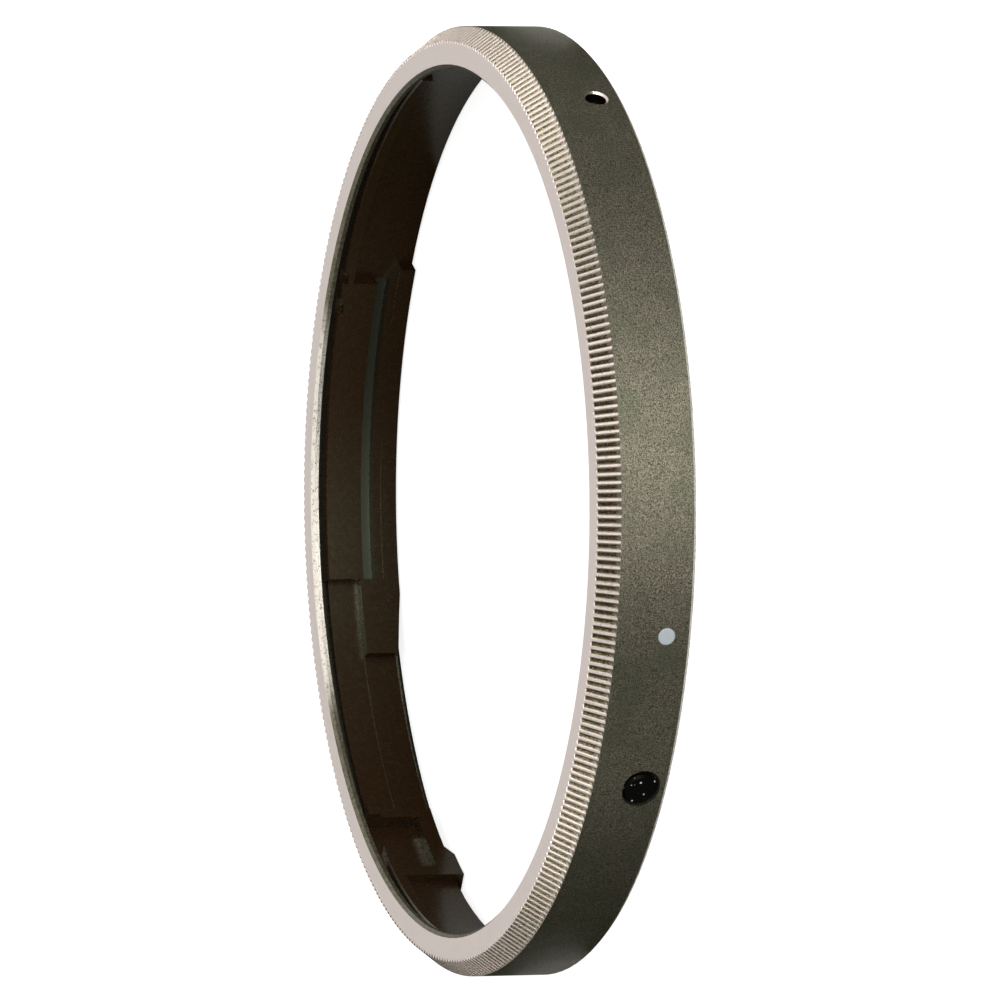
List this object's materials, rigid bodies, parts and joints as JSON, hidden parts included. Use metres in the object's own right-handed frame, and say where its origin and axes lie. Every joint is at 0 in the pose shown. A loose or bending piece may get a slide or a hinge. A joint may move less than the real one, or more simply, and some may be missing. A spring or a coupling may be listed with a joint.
{
  "type": "lens ring cap",
  "caption": "Thin metal ring cap for a lens barrel: knurled cone at the front, smooth band behind, and a black moulded bayonet ring inside.",
  "frame": {"origin": "centre of the rear edge, on the ring's axis, at the surface that it lies on", "axes": "+Z along the ring's axis, out of the knurled front face; +X is the side that the picture shows nearest"},
  "size_m": [0.0568, 0.0568, 0.0058],
  "materials": {
    "metal": "bead-blasted and anodised dark bronze grey, with pale turned edges and a pale satin front face",
    "moulding": "glossy black as moulded"
  },
  "bodies": {
    "root": {"knurled_ring": "metal", "bayonet_ring": "moulding"}
  },
  "joints": []
}
